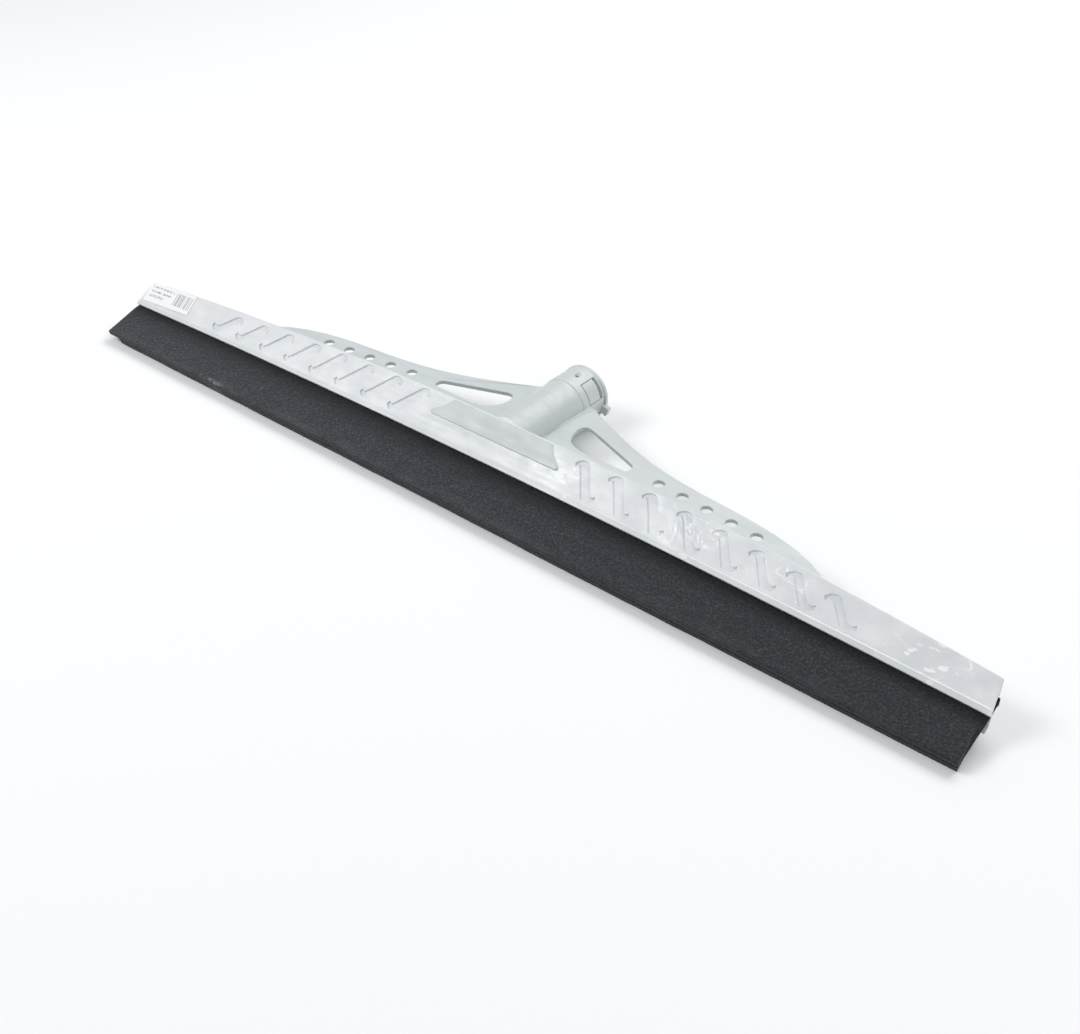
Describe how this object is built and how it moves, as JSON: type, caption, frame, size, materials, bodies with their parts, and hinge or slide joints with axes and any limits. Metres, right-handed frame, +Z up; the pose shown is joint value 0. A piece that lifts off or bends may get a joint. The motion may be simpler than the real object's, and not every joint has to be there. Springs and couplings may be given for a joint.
{
  "type": "squeegee head",
  "caption": "Wide squeegee head: grey plastic channel gripping a black foam rubber blade, with a perforated web and a snap socket for a round handle.",
  "frame": {"origin": "middle of the footprint, on the surface that the head lies on (foam edge and socket rim touch it)", "axes": "+X along the blade, +Y from the foam edge towards the handle, +Z up"},
  "size_m": [0.5542, 0.1152, 0.031],
  "materials": {
    "grey_plastic": "satin",
    "foam_rubber": "matt",
    "label_paper": "matt"
  },
  "bodies": {
    "head": {"head_moulding": "grey_plastic", "foam_strip_upper": "foam_rubber", "foam_strip_lower": "foam_rubber", "price_label": "label_paper"},
    "tongue_right": {"snap_tongue_right": "grey_plastic"},
    "tongue_left": {"snap_tongue_left": "grey_plastic"}
  },
  "joints": [
    {"name": "tongue_right_flex", "type": "hinge", "parent": "head", "child": "tongue_right", "pos_m": [0.01124, 0.0428, 0.02366], "axis": [0.5373, 0, -0.8434], "range_deg": [0, 6], "stiffness_Nm_per_rad": 0.05},
    {"name": "tongue_left_flex", "type": "hinge", "parent": "head", "child": "tongue_left", "pos_m": [-0.01213, 0.0428, 0.02203], "axis": [0.4147, 0, 0.91], "range_deg": [0, 6], "stiffness_Nm_per_rad": 0.05}
  ]
}
